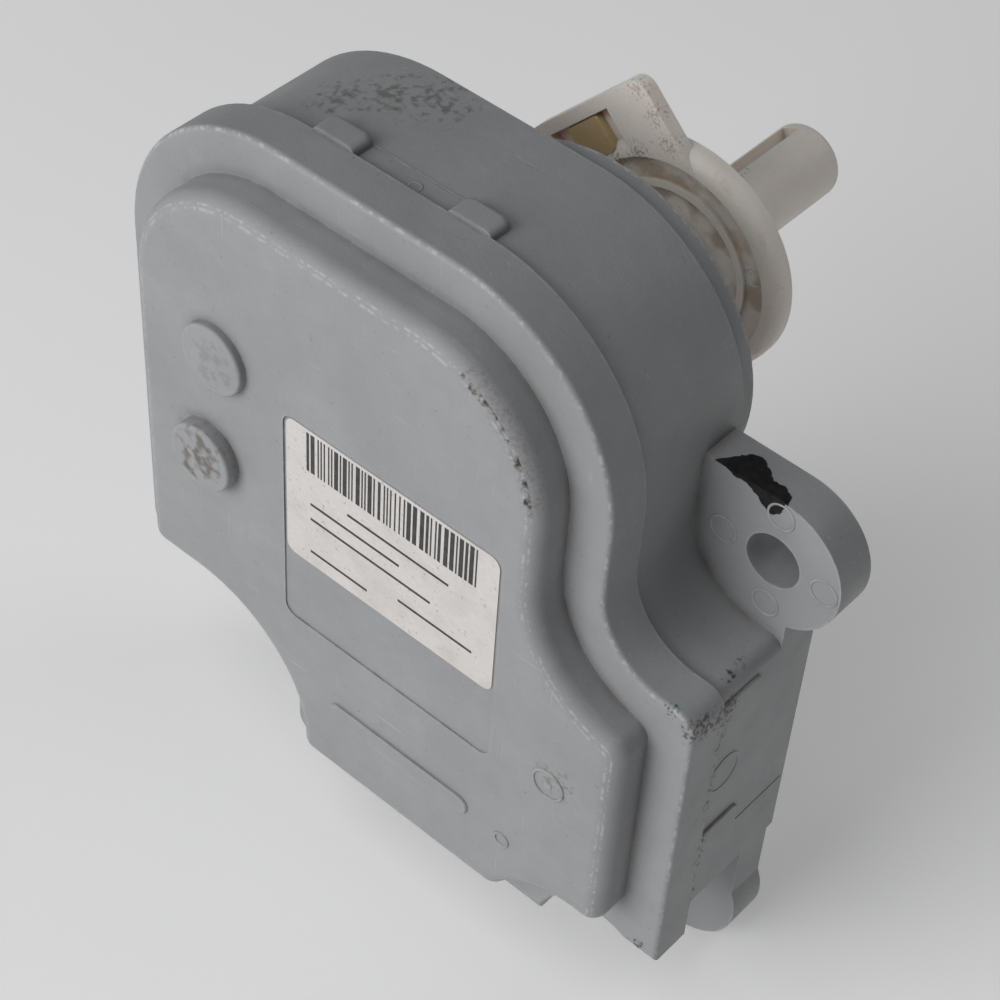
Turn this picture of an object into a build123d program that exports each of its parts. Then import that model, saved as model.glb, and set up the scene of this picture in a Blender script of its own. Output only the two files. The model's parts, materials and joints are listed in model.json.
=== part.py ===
from build123d import *
import os
from math import atan2, cos, degrees, hypot, pi, radians, sin, sqrt, tan

# Electric flap actuator for a vehicle heater box, in millimetres.
# Origin: output shaft axis, on the plane of the three lugs' rear faces.
# The cover faces -Y, the output shaft leaves along +Y, and +Z is up.

# Depth planes, front to back
PLATEAU_Y = -20.3
RIM_Y = -16.4
PARTING_Y = -12.2
LUG_FRONT_Y = -4.0
BACK_Y = 1.2
BULGE_Y = 2.8

# Outline of the cover's rim
LEFT_X = -35.9
RIGHT_X = 17.2
WIDE_X = 27.3
BLOCK_X = -16.7
TOP_Z = 17.2
SHOULDER_Z = -13.8
HIP_Z = -37.3
FOOT_Z = -47.0
BOTTOM_Z = -51.7
TOP_LEFT_R = 17.3
GAP_R = 7.2
FOOT_R = 6.5
HIP_R = 8.6
CORNER_R = 2.0

# Housing behind the rim
WALL = 1.5
HOUSING_INSET = 0.6
HOUSING_FOOT_Z = -44.4
HOUSING_TOP_LEFT_R = 19.3
BACK_CHAMFER = 0.4
PLATEAU_INSET = 4.1
PLATEAU_NOTCH_R = 10.4
PLATEAU_FILLET = 1.6
PANEL_CORNER_R = 1.7
BULGE_R = 16.0
LIP = 1.0

# Fixing lugs
LUG_R = 6.6
LUG_HOLE_R = 2.6
LUG_SIDE = (24.4, -6.6)
LUG_FOOT = (20.7, -52.8)
LUG_HIP = (-25.3, -45.9)

# Snap catches: centres along the top wall and down the right wall
TOP_CATCHES = [-16.3, -2.0]
SIDE_CATCHES = [-18.3, -35.6]
CATCH_WIDTH = 4.4
TOP_CATCH = (1.0, -9.6)
SIDE_CATCH = (0.3, -6.5)
CATCH_DEPTH_Y = -10.7
TONGUE_HALF = 1.6
TONGUE_CLEAR = 0.1
CATCH_ROUND = 0.9
POCKET_HALF = 1.9

# Roots of the lugs and the cradles under the motor
LUG_ROOT_X = 15.0
HIP_WEB = 5.4
CRADLE_HALF_X = 0.8
CRADLE_HALF_Z = 4.5

# Front panel's details
BOSS_R = 3.5
BOSS_EDGE_R = 0.3
RIM_EDGE_R = 0.5
FIRST_BOSS = 1.4
SECOND_BOSS = 0.8
PANEL_WALL = 1.4
LABEL_X = -2.0
LABEL_Z = -13.2
LABEL_WIDTH = 23.6
LABEL_HEIGHT = 16.0
LABEL_T = 0.1
RECESS_DEPTH = 0.15
RECESS_FOOT_Z = -29.6
SEAT_MARGIN = 0.3
SEAT_CORNER_R = 1.3
LABEL_CORNER_R = 1.0

# Gear train: teeth, modules and face heights
PRESSURE_ANGLE = 25.0
BACKLASH = 0.10
FINE = 0.5
COARSE = 0.6
OUTPUT_TEETH = 46
THIRD_PINION_TEETH = 12
THIRD_WHEEL_TEETH = 29
SECOND_PINION_TEETH = 10
SECOND_WHEEL_TEETH = 38
FIRST_PINION_TEETH = 10
WORM_WHEEL_TEETH = 26
WORM_R = 2.0
WORM_TURNS = 6
OUTPUT_FACE = (-7.4, -3.4)
THIRD_WHEEL_FACE = (-10.9, -8.1)
THIRD_PINION_FACE = (-8.1, -3.2)
SECOND_WHEEL_FACE = (-14.6, -11.8)
SECOND_PINION_FACE = (-11.8, -7.9)
FIRST_PINION_FACE = (-14.8, -11.3)
WORM_WHEEL_FACE = (-11.3, -7.7)
GEAR_FOOT_Y = -1.5
PIN_R = 1.0
PIN_CLEAR = 0.05
PIN_END_Y = 0.7
SEAT_R = 2.6
SECOND_AXIS = (-21.8, -3.9)

# Output shaft and lever
JOURNAL_R = 5.0
JOURNAL_CLEAR = 0.06
SHAFT_R = 3.0
FLAT = 2.2
HUB_FRONT_Y = -16.0
STUB_R = 1.9
STUB_FRONT_Y = -18.2
STUB_SOCKET_R = 3.2
STUB_SOCKET_Y = -16.9
GEAR_SHOULDER_R = 7.0
FRONT_HUB_R = 4.2
GEAR_HOLE_R = 2.0
GEAR_HOLES_AT = 10.0
GEAR_WEB = 1.6
LEVER_FLANGE_R = 6.2
DISC_Y = 12.3
DISC_BACK_Y = 14.5
DISC_R = 11.2
DISC_EDGE_R = 1.5
DISH_R = 9.7
DISH_DEPTH = 0.6
NECK_R = 4.2
COLLAR_R = 8.4
COLLAR_Y = 16.8
COLLAR_EDGE_R = 0.8
POST_EDGE_R = 0.6
RING_OUTER_R = 7.6
RING_INNER_R = 6.9
RING_HEIGHT = 0.2
POST_R = 3.6
POST_Y = 32.0
GROOVE_ANGLE = 116.0
GROOVE_TO_SEAM = 67.5
GROOVE_DEPTH = 1.7
GROOVE_HALF = 0.9
ARM_HALF = 8.0
ARM_LENGTH = 15.2
ARM_ANGLE = 136.5
ARM_BACK_Y = 13.7
ARM_TIP_R = 1.4
POCKET_X = 9.6
POCKET_RIM = 1.2
POCKET_DEPTH = 0.9
POCKET_Z = (-2.6, 5.6)
RIB_X = 10.8
RIB_Z = (-0.6, 3.0)

# Motor, along X
MOTOR_Y = -9.5
CAN_R = 8.0
CAN_FLAT = 6.2
CAN_FRONT_X = -14.5
CAN_BACK_X = 6.5
CAN_WALL = 0.6
MOTOR_SHAFT_R = 1.0
BUSH_R = 1.7
BRUSH_Z = 2.3
ROTOR_X = (-9.5, -0.5)
ROTOR_R = 5.5
ROTOR_HUB_R = 2.4
POLE_HALF = 0.9
SHOE_INNER_R = 4.0
SHOE_HALF = 4.1
MAGNET_X = (-11.5, 2.5)
MAGNET_GAP = 0.4
COIL_OVERHANG = 0.9
COIL_HALF = 1.75
COIL_Z = (2.5, 3.5)
COMMUTATOR_R = 2.0
COMMUTATOR_X = (0.8, 4.4)
BEARING_NOSE_R = 3.0
CAP_NOSE_R = 2.05

# Circuit board and connector
BOARD_Y = -17.6
BOARD_T = 0.9
BOARD_R = 11.0
BOARD_WIDTH = 23.0
BOARD_FOOT_Z = -43.5
BOARD_HOLE_R = 3.5
STAKE_R = 0.9
TRACK_T = 0.05
TRACK_GAP = 3.0
FINGER_RADII = (6.45, 9.1)
STAKES = [(-9.6, -14.5), (9.0, -38.0)]
PIN_PITCH = 3.2
PIN_COUNT = 5
PIN_MID_X = -2.5
PIN_SIZE = 0.7
SOCKET_HALF_X = 10.0
SOCKET_FRONT_Y = -10.2
SOCKET_BACK_Y = -1.8
SOCKET_TOP_Z = -43.0
SOCKET_SKIN = 1.4
PIN_Y = -7.9
PIN_TIP_Z = -49.2
PIN_BEND_Z = -40.2


def between(sketch, front, back):
    """Solid of an XZ-plane sketch from y = front to y = back."""
    return extrude(Plane.XZ.offset(-back) * sketch, back - front)


def disc(at, radius, front, back):
    return between(Pos(*at) * Circle(radius), front, back)


def block(x0, x1, y0, y1, z0, z1):
    return Pos((x0 + x1) / 2, (y0 + y1) / 2, (z0 + z1) / 2) * Box(x1 - x0, y1 - y0, z1 - z0)


def rounded(x0, x1, z0, z1, radii):
    """Rectangle with its own radius at each corner, from lower left, anticlockwise."""
    corners = [(x0, z0), (x1, z0), (x1, z1), (x0, z1)]
    return make_face(FilletPolyline(*corners, radius=radii, close=True))


def patch(x0, x1, z0, z1):
    return Pos((x0 + x1) / 2, (z0 + z1) / 2) * Rectangle(x1 - x0, z1 - z0)


def outline(inset=0.0, foot=FOOT_Z, least=0.4):
    """Front outline of the case, drawn inside the rim's outline by inset."""
    i = inset
    small = max(CORNER_R - i, least)
    shoulder = TOP_LEFT_R if foot == FOOT_Z else HOUSING_TOP_LEFT_R
    face = rounded(LEFT_X + i, RIGHT_X - i, HIP_Z + i, TOP_Z - i,
                   [small, small, TOP_Z - i, shoulder - i])
    face += rounded(BLOCK_X + i, WIDE_X - i, BOTTOM_Z + i, SHOULDER_Z - i, [small] * 4)
    # Each inner corner is hollowed round a fixing lug
    side_x, side_z = LUG_SIDE
    face += patch(RIGHT_X - i - 3, min(side_x, WIDE_X - i), SHOULDER_Z - i - 3, side_z)
    hip_x, hip_z = LUG_HIP
    face += patch(hip_x, BLOCK_X + i + 3, hip_z, HIP_Z + i + 3)
    face -= Pos(*LUG_SIDE) * Circle(GAP_R + i)
    face -= Pos(*LUG_HIP) * Circle(HIP_R + i)
    foot_x, foot_z = LUG_FOOT
    if foot == FOOT_Z:
        face -= Pos(*LUG_FOOT) * Circle(FOOT_R + i)
        face -= patch(foot_x, WIDE_X + 5, BOTTOM_Z - 5, foot + i)
    else:
        face -= patch(foot_x - FOOT_R - i, WIDE_X + 5, BOTTOM_Z - 5, foot + i)
    return face


def sharp_corners(face):
    """Corners of a face's outer edge where the two sides meet at more than 10 degrees."""
    sides = face.outer_wire().edges()
    corners = []
    for corner in face.outer_wire().vertices():
        directions = []
        for side in sides:
            for end in (0, 1):
                if (side.position_at(end) - corner.center()).length < 1e-4:
                    directions.append(side.tangent_at(end))
        bend = directions[0].get_angle(directions[1])
        if 10 < bend < 170:
            corners.append(corner)
    return corners


def plateau_outline(extra=0.0):
    """Raised panel of the cover, with its notch over the foot lug."""
    face = outline(PLATEAU_INSET + extra, least=PANEL_CORNER_R - extra)
    face -= Pos(*LUG_FOOT) * Circle(PLATEAU_NOTCH_R + extra)
    face = face.faces().sort_by(SortBy.AREA)[-1]
    return fillet(sharp_corners(face), PANEL_CORNER_R - extra)


def involute_point(base_r, at_r, half_at_base):
    """Point of a tooth flank at radius at_r; half_at_base is the half tooth angle at the base circle."""
    if at_r <= base_r:
        turn = 0.0
    else:
        pressure = sqrt((at_r / base_r) ** 2 - 1)
        turn = pressure - atan2(pressure, 1)
    return at_r, half_at_base - turn


def gear_sketch(module, teeth, phase):
    """Involute gear outline with a tooth centred on the angle phase, in degrees."""
    pitch_r = module * teeth / 2
    base_r = pitch_r * cos(radians(PRESSURE_ANGLE))
    tip_r = pitch_r + 0.9 * module
    root_r = pitch_r - 1.2 * module
    involute = tan(radians(PRESSURE_ANGLE)) - radians(PRESSURE_ANGLE)
    half = (pi * module / 2 - BACKLASH / 2) / (2 * pitch_r) + involute
    start_r = max(base_r, root_r)
    levels = [start_r, (start_r + tip_r) / 2, tip_r]
    flank = [involute_point(base_r, r, half) for r in levels]
    edges = []
    last = None
    first = None
    for tooth in range(teeth):
        middle = radians(phase) + 2 * pi * tooth / teeth
        rising = [(r * cos(middle - a), r * sin(middle - a)) for r, a in flank]
        falling = [(r * cos(middle + a), r * sin(middle + a)) for r, a in reversed(flank)]
        root_in = (root_r * cos(middle - flank[0][1]), root_r * sin(middle - flank[0][1]))
        root_out = (root_r * cos(middle + flank[0][1]), root_r * sin(middle + flank[0][1]))
        if last:
            edges.append(Line(last, root_in))
        else:
            first = root_in
        if root_r < start_r - 1e-4:
            edges.append(Line(root_in, rising[0]))
        edges.append(ThreePointArc(*rising))
        edges.append(Line(rising[2], falling[0]))
        edges.append(ThreePointArc(*falling))
        if root_r < start_r - 1e-4:
            edges.append(Line(falling[2], root_out))
            last = root_out
        else:
            last = falling[2]
    edges.append(Line(last, first))
    return make_face(Wire(edges))


def angle_between(a, b):
    return degrees(atan2(b[1] - a[1], b[0] - a[0]))


def polar(centre, distance, angle):
    return centre[0] + distance * cos(radians(angle)), centre[1] + distance * sin(radians(angle))


def centre_distance(module, teeth_a, teeth_b):
    return module * (teeth_a + teeth_b) / 2


# Axis positions in the XZ plane, worked out from the gears' centre distances
FIRST_GAP = centre_distance(FINE, FIRST_PINION_TEETH, SECOND_WHEEL_TEETH)
SECOND_GAP = centre_distance(FINE, SECOND_PINION_TEETH, THIRD_WHEEL_TEETH)
THIRD_GAP = centre_distance(COARSE, THIRD_PINION_TEETH, OUTPUT_TEETH)
FIRST_AXIS = polar(SECOND_AXIS, FIRST_GAP, 264.0)
SECOND_REACH = hypot(*SECOND_AXIS)
ALONG = (THIRD_GAP ** 2 - SECOND_GAP ** 2 + SECOND_REACH ** 2) / (2 * SECOND_REACH)
ASIDE = sqrt(THIRD_GAP ** 2 - ALONG ** 2)
SECOND_DIRECTION = angle_between((0, 0), SECOND_AXIS)
THIRD_AXIS = polar(polar((0, 0), ALONG, SECOND_DIRECTION), ASIDE, SECOND_DIRECTION - 90)
WORM_WHEEL_R = FINE * WORM_WHEEL_TEETH / 2
WORM_Z = FIRST_AXIS[1] - WORM_WHEEL_R - WORM_R
WORM_PITCH = pi * FINE
WORM_MID_X = FIRST_AXIS[0]

# Motor pieces are drawn along +X about the origin and moved to here
MOTOR_AT = Pos(0, MOTOR_Y, WORM_Z)


def mesh_phase(teeth, toward):
    """Phase that points a gap between teeth along the angle toward."""
    return toward + 180 / teeth


def catch_bump(height, end_y):
    """Catch bump on the case's outside, drawn on the top wall about x = 0."""
    half = CATCH_WIDTH / 2
    bump = block(-half, half, PARTING_Y, end_y, -1.0, height)
    bump = fillet(bump.edges().filter_by(Axis.Z).group_by(Axis.Y)[-1], CATCH_ROUND)
    return fillet(bump.faces().sort_by(Axis.Z)[-1].edges().group_by(Axis.Y)[1:], 0.6 * height)


def top_places():
    """Places of the top wall's catches, each with +Z pointing out of the wall."""
    return [Pos(x, 0, TOP_Z - HOUSING_INSET) for x in TOP_CATCHES]


def side_places():
    """Places of the right wall's catches, each with +Z pointing out of the wall."""
    return [Pos(WIDE_X - HOUSING_INSET, 0, z) * Rot(0, 90, 0) for z in SIDE_CATCHES]


def lug(at, boxes):
    body = disc(at, LUG_R, LUG_FRONT_Y, 0)
    for x0, x1, z0, z1 in boxes:
        body += block(x0, x1, LUG_FRONT_Y, 0, z0, z1)
    return body


def rear_housing():
    body = between(outline(HOUSING_INSET, HOUSING_FOOT_Z), PARTING_Y, BACK_Y)
    body = chamfer(body.faces().sort_by(Axis.Y)[-1].outer_wire().edges(), BACK_CHAMFER)
    body += disc((0, 0), BULGE_R, BACK_Y - 1, BULGE_Y)
    side_x, side_z = LUG_SIDE
    body += lug(LUG_SIDE, [(LUG_ROOT_X, side_x, SHOULDER_Z - 1, side_z + LUG_R),
                           (LUG_ROOT_X, WIDE_X - HOUSING_INSET, SHOULDER_Z - 2, side_z)])
    foot_x, foot_z = LUG_FOOT
    body += lug(LUG_FOOT, [(foot_x - LUG_R, WIDE_X - HOUSING_INSET, foot_z, HOUSING_FOOT_Z + 2)])
    hip_x, hip_z = LUG_HIP
    body += lug(LUG_HIP, [(hip_x - LUG_R, hip_x + LUG_R, hip_z, HIP_Z + 2),
                          (hip_x, BLOCK_X + 2, hip_z - HIP_WEB, HIP_Z + 2)])
    for place in top_places():
        body += place * catch_bump(*TOP_CATCH)
    for place in side_places():
        body += place * catch_bump(*SIDE_CATCH)
    body -= between(outline(HOUSING_INSET + WALL, HOUSING_FOOT_Z), PARTING_Y - 1, BACK_Y - WALL)
    # Connector shroud, opening downwards
    skin = SOCKET_SKIN
    inner = [PIN_MID_X - SOCKET_HALF_X, PIN_MID_X + SOCKET_HALF_X, SOCKET_FRONT_Y, SOCKET_BACK_Y]
    body += block(inner[0] - skin, inner[1] + skin, inner[2] - skin, BACK_Y - 1,
                  BOTTOM_Z + 1, SOCKET_TOP_Z + skin)
    body -= block(*inner, BOTTOM_Z - 1, SOCKET_TOP_Z)
    for x in pin_places():
        half = PIN_SIZE / 2 + 0.02
        body -= block(x - half, x + half, PIN_Y - half, PIN_Y + half, SOCKET_TOP_Z - 1, SOCKET_TOP_Z + 3)
    # Seats of the three gear pins, and two cradles under the motor
    for at in (FIRST_AXIS, SECOND_AXIS, THIRD_AXIS):
        body += disc(at, SEAT_R, GEAR_FOOT_Y + 0.1, BACK_Y - 0.2)
        body -= disc(at, PIN_R, GEAR_FOOT_Y - 1, PIN_END_Y)
    for x in (CAN_FRONT_X + 3, CAN_BACK_X - 4):
        body += block(x - CRADLE_HALF_X, x + CRADLE_HALF_X, MOTOR_Y + CAN_FLAT, BACK_Y - WALL + 0.2,
                      WORM_Z - CRADLE_HALF_Z, WORM_Z + CRADLE_HALF_Z)
    body -= disc((0, 0), JOURNAL_R + JOURNAL_CLEAR, -3, BULGE_Y + 1)
    for at in (LUG_SIDE, LUG_FOOT, LUG_HIP):
        body -= disc(at, LUG_HOLE_R, LUG_FRONT_Y - 1, 1)
    # Pockets inside the catch bumps
    for place in top_places() + side_places():
        body -= place * block(-POCKET_HALF, POCKET_HALF, CATCH_DEPTH_Y - 1.0, CATCH_DEPTH_Y + 0.6,
                              -WALL - 0.5, 0.1)
    return body


def front_cover():
    cover = between(outline(), RIM_Y, PARTING_Y)
    cover = fillet(cover.faces().sort_by(Axis.Y)[0].outer_wire().edges(), RIM_EDGE_R)
    panel = between(plateau_outline(), PLATEAU_Y, RIM_Y + 1)
    panel = fillet(panel.faces().sort_by(Axis.Y)[0].outer_wire().edges(), PLATEAU_FILLET)
    cover += panel
    cover -= between(outline(HOUSING_INSET + WALL, HOUSING_FOOT_Z), RIM_Y + WALL, PARTING_Y + 1)
    cover -= between(plateau_outline(PANEL_WALL), PLATEAU_Y + WALL, RIM_Y + WALL + 1)
    # Locating lip inside the housing's wall
    fit = HOUSING_INSET + WALL + 0.1
    lip = between(outline(fit, HOUSING_FOOT_Z), PARTING_Y - 1.2, PARTING_Y + 1.5)
    lip += between(outline(fit - 0.4, HOUSING_FOOT_Z), PARTING_Y - 1.2, PARTING_Y)
    lip -= between(outline(fit + LIP, HOUSING_FOOT_Z), PARTING_Y - 2, PARTING_Y + 3)
    reach = SOCKET_HALF_X + SOCKET_SKIN + 0.2
    lip -= block(PIN_MID_X - reach, PIN_MID_X + reach, PARTING_Y + 0.3, 0, BOTTOM_Z, SOCKET_TOP_Z)
    cover += lip
    # Two round bosses over the gear pins
    for at, height in ((SECOND_AXIS, SECOND_BOSS), (FIRST_AXIS, FIRST_BOSS)):
        boss = disc(at, BOSS_R, PLATEAU_Y - height, PLATEAU_Y + 0.5)
        cover += fillet(boss.edges().sort_by(Axis.Y)[0], BOSS_EDGE_R)
    for at, inner_y in ((SECOND_AXIS, SECOND_WHEEL_FACE[0]), (FIRST_AXIS, FIRST_PINION_FACE[0])):
        cover += disc(at, SEAT_R, PLATEAU_Y + 1, inner_y - 0.1)
        cover -= disc(at, PIN_R, PLATEAU_Y + 0.9, 0)
    # Shallow seat of the label, which runs on below it
    seat_half = LABEL_WIDTH / 2 + SEAT_MARGIN
    seat = rounded(LABEL_X - seat_half, LABEL_X + seat_half, RECESS_FOOT_Z,
                   LABEL_Z + LABEL_HEIGHT / 2 + SEAT_MARGIN, [SEAT_CORNER_R] * 4)
    cover -= between(seat, PLATEAU_Y - 1, PLATEAU_Y + RECESS_DEPTH)
    # Socket for the output gear's front stub, and two stakes for the board
    cover += disc((0, 0), STUB_SOCKET_R, PLATEAU_Y + 1, STUB_SOCKET_Y)
    cover -= disc((0, 0), STUB_R + JOURNAL_CLEAR, STUB_FRONT_Y - 0.3, 0)
    for at in STAKES:
        cover += disc(at, STAKE_R, PLATEAU_Y + 1, BOARD_Y + 0.4)
    # Snap tongues with their barbs
    for place in top_places() + side_places():
        top = -WALL - TONGUE_CLEAR
        end = CATCH_DEPTH_Y + 0.4
        tongue = block(-TONGUE_HALF, TONGUE_HALF, PARTING_Y - 0.6, end, top - LIP, top)
        barb = block(-TONGUE_HALF, TONGUE_HALF, end - 1.1, end, top - LIP, top + 0.7)
        cover += place * (tongue + barb)
    return cover


def compound_gear(at, sections, hub_r, foot_y, bore_r):
    """Gear of stacked toothed sections on one pin, each (module, teeth, phase, face)."""
    gear = None
    for module, teeth, phase, face in sections:
        layer = between(Pos(*at) * gear_sketch(module, teeth, phase), *face)
        gear = layer if gear is None else gear + layer
    last = max(face[1] for module, teeth, phase, face in sections)
    gear += disc(at, hub_r, last - 0.2, foot_y)
    return gear - disc(at, bore_r, -25, 5)


def third_gear():
    to_output = angle_between(THIRD_AXIS, (0, 0))
    to_second = angle_between(THIRD_AXIS, SECOND_AXIS)
    sections = [
        (FINE, THIRD_WHEEL_TEETH, mesh_phase(THIRD_WHEEL_TEETH, to_second), THIRD_WHEEL_FACE),
        (COARSE, THIRD_PINION_TEETH, to_output, THIRD_PINION_FACE),
    ]
    return compound_gear(THIRD_AXIS, sections, 2.2, GEAR_FOOT_Y, PIN_R + PIN_CLEAR)


def second_gear():
    to_third = angle_between(SECOND_AXIS, THIRD_AXIS)
    to_first = angle_between(SECOND_AXIS, FIRST_AXIS)
    sections = [
        (FINE, SECOND_WHEEL_TEETH, mesh_phase(SECOND_WHEEL_TEETH, to_first), SECOND_WHEEL_FACE),
        (FINE, SECOND_PINION_TEETH, to_third, SECOND_PINION_FACE),
    ]
    return compound_gear(SECOND_AXIS, sections, 1.8, GEAR_FOOT_Y, PIN_R + PIN_CLEAR)


def worm_wheel():
    """Helical wheel driven by the worm, with the first pinion in front of it."""
    front, back = WORM_WHEEL_FACE
    lead = atan2(WORM_PITCH, 2 * pi * WORM_R)
    twist = degrees(tan(lead) * (back - front) / 2 / WORM_WHEEL_R)
    phase = mesh_phase(WORM_WHEEL_TEETH, -90)
    ends = []
    for y, turn in ((front, twist), (back, -twist)):
        sketch = Pos(*FIRST_AXIS) * gear_sketch(FINE, WORM_WHEEL_TEETH, phase + turn)
        ends.append(Plane.XZ.offset(-y) * sketch)
    wheel = loft(ends, ruled=True)
    to_second = angle_between(FIRST_AXIS, SECOND_AXIS)
    pinion = Pos(*FIRST_AXIS) * gear_sketch(FINE, FIRST_PINION_TEETH, to_second)
    wheel += between(pinion, *FIRST_PINION_FACE)
    wheel += disc(FIRST_AXIS, 2.2, back - 0.2, GEAR_FOOT_Y)
    return wheel - disc(FIRST_AXIS, PIN_R + PIN_CLEAR, -25, 5)


def output_gear():
    """Last wheel of the train, with its front stub, journal and flatted shaft."""
    to_third = angle_between((0, 0), THIRD_AXIS)
    gear = between(gear_sketch(COARSE, OUTPUT_TEETH, mesh_phase(OUTPUT_TEETH, to_third)), *OUTPUT_FACE)
    gear += disc((0, 0), GEAR_SHOULDER_R, OUTPUT_FACE[1] - 0.2, BACK_Y - WALL - 0.1)
    gear += disc((0, 0), JOURNAL_R, -1, BULGE_Y)
    gear += disc((0, 0), FRONT_HUB_R, HUB_FRONT_Y, OUTPUT_FACE[0] + 0.2)
    gear += disc((0, 0), STUB_R, STUB_FRONT_Y, HUB_FRONT_Y + 0.5)
    gear += between(shaft_sketch(0), BULGE_Y - 0.5, DISC_BACK_Y - 0.5)
    for angle in range(20, 380, 60):
        place = polar((0, 0), GEAR_HOLES_AT, angle)
        gear -= disc(place, GEAR_HOLE_R, OUTPUT_FACE[0] - 1, OUTPUT_FACE[1] - 1.2 - GEAR_WEB)
    return gear


def shaft_sketch(clearance):
    """Round section with one flat, which keys the lever to the output gear."""
    r = SHAFT_R + clearance
    cut = Pos(FLAT + clearance + 5, 0) * Rectangle(10, 20)
    return Circle(r) - cut


def output_lever():
    """White lever outside the case: neck, disc, crank arm and grooved drive post."""
    lever = disc((0, 0), LEVER_FLANGE_R, BULGE_Y + 0.1, BULGE_Y + 1.2)
    lever += disc((0, 0), NECK_R, BULGE_Y + 0.5, DISC_Y + 0.5)
    plate = disc((0, 0), DISC_R, DISC_Y, DISC_BACK_Y)
    plate = fillet(plate.edges().sort_by(Axis.Y)[0], DISC_EDGE_R)
    lever += plate
    lever += Rot(0, -ARM_ANGLE, 0) * arm_blank()
    dish = disc((0, 0), DISH_R, DISC_Y - 1, DISC_Y + DISH_DEPTH)
    lever -= dish - disc((0, 0), NECK_R, DISC_Y - 2, DISC_Y + 2)
    collar = disc((0, 0), COLLAR_R, DISC_BACK_Y - 1, COLLAR_Y)
    lever += fillet(collar.edges().sort_by(Axis.Y)[-1], COLLAR_EDGE_R)
    # The post's seam is turned clear of its groove
    post = Rot(0, GROOVE_TO_SEAM - GROOVE_ANGLE, 0) * disc((0, 0), POST_R, COLLAR_Y - 1, POST_Y)
    lever += fillet(post.edges().filter_by(GeomType.CIRCLE).sort_by(Axis.Y)[-1], POST_EDGE_R)
    lever -= between(shaft_sketch(0.02), 0, DISC_BACK_Y - 0.45)
    groove = block(POST_R - GROOVE_DEPTH, POST_R + 2, COLLAR_Y + 0.6, POST_Y - 1.3,
                   -GROOVE_HALF, GROOVE_HALF)
    lever -= Rot(0, -GROOVE_ANGLE, 0) * groove
    # Raised ring in the disc's dished front face
    dish_y = DISC_Y + DISH_DEPTH
    ring = disc((0, 0), RING_OUTER_R, dish_y - 0.4, dish_y + RING_HEIGHT)
    ring -= disc((0, 0), RING_INNER_R, DISC_Y - 2, DISC_Y + 2)
    return lever + ring


def arm_blank():
    """Crank arm along +X: a rounded plate with a walled pocket and a rib."""
    sketch = Pos(ARM_LENGTH / 2, 0) * Rectangle(ARM_LENGTH, 2 * ARM_HALF)
    plate = between(sketch, DISC_Y, ARM_BACK_Y)
    tips = plate.edges().filter_by(Axis.Y).group_by(Axis.X)[-1]
    plate = fillet(tips, ARM_TIP_R)
    pocket = block(POCKET_X, ARM_LENGTH - POCKET_RIM, DISC_Y - 1, DISC_Y + POCKET_DEPTH, *POCKET_Z)
    rib = block(RIB_X, ARM_LENGTH - 1.0, DISC_Y + 0.3, DISC_Y + 1.1, *RIB_Z)
    return plate - pocket + rib


def gear_pin(at, front):
    pin = disc(at, PIN_R, front, PIN_END_Y)
    return chamfer(pin.edges().filter_by(GeomType.CIRCLE), 0.15)


def first_gear_pin():
    return gear_pin(FIRST_AXIS, PLATEAU_Y + 1.1)


def second_gear_pin():
    return gear_pin(SECOND_AXIS, PLATEAU_Y + 1.1)


def third_gear_pin():
    return gear_pin(THIRD_AXIS, THIRD_WHEEL_FACE[0] - 0.3)


def rod(radius, x0, x1):
    return extrude(Plane.YZ.offset(x0) * Circle(radius), x1 - x0)


def tube(outer, inner, x0, x1):
    return rod(outer, x0, x1) - rod(inner, x0 - 1, x1 + 1)


def flatted(radius, flat, x0, x1):
    return rod(radius, x0, x1) & block(x0 - 1, x1 + 1, -flat, flat, -20, 20)


def motor_can():
    can = flatted(CAN_R, CAN_FLAT, CAN_FRONT_X, CAN_BACK_X)
    can = chamfer(can.edges().group_by(Axis.X)[0], 0.4)
    can -= flatted(CAN_R - CAN_WALL, CAN_FLAT - CAN_WALL, CAN_FRONT_X + CAN_WALL, CAN_BACK_X + 1)
    can += rod(BEARING_NOSE_R, CAN_FRONT_X - 1.4, CAN_FRONT_X + 0.3)
    can -= rod(BUSH_R, CAN_FRONT_X - 3, CAN_FRONT_X + 3)
    return MOTOR_AT * can


def motor_end_cap():
    wall = CAN_WALL + 0.05
    cap = flatted(CAN_R - wall, CAN_FLAT - wall, CAN_BACK_X - 1.2, CAN_BACK_X + 0.8)
    cap += rod(CAP_NOSE_R, CAN_BACK_X, CAN_BACK_X + 1.8)
    cap -= rod(BUSH_R, CAN_BACK_X - 3, CAN_BACK_X + 1.2)
    for z in (-BRUSH_Z, BRUSH_Z):
        cap -= block(CAN_BACK_X - 3, CAN_BACK_X + 3, -1.05, 1.05, z - 0.2, z + 0.2)
    return MOTOR_AT * cap


def motor_bush(x0):
    return MOTOR_AT * tube(BUSH_R, MOTOR_SHAFT_R + 0.03, x0, x0 + 1.6)


def motor_bush_front():
    return motor_bush(CAN_FRONT_X - 1.2)


def motor_bush_rear():
    return motor_bush(CAN_BACK_X - 0.8)


def motor_shaft():
    shaft = rod(MOTOR_SHAFT_R, WORM_MID_X - 5.6, CAN_BACK_X + 0.9)
    return MOTOR_AT * chamfer(shaft.edges().filter_by(GeomType.CIRCLE), 0.15)


def magnet(angle):
    shell = tube(CAN_R - CAN_WALL - 0.05, ROTOR_R + MAGNET_GAP, *MAGNET_X)
    wedge = extrude(Plane.YZ.offset(-12) * Polygon((0, 0), (12, 10.5), (-12, 10.5), align=None), 16)
    return MOTOR_AT * Rot(angle, 0, 0) * (shell & wedge)


def magnet_upper():
    return magnet(0)


def magnet_lower():
    return magnet(180)


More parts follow.
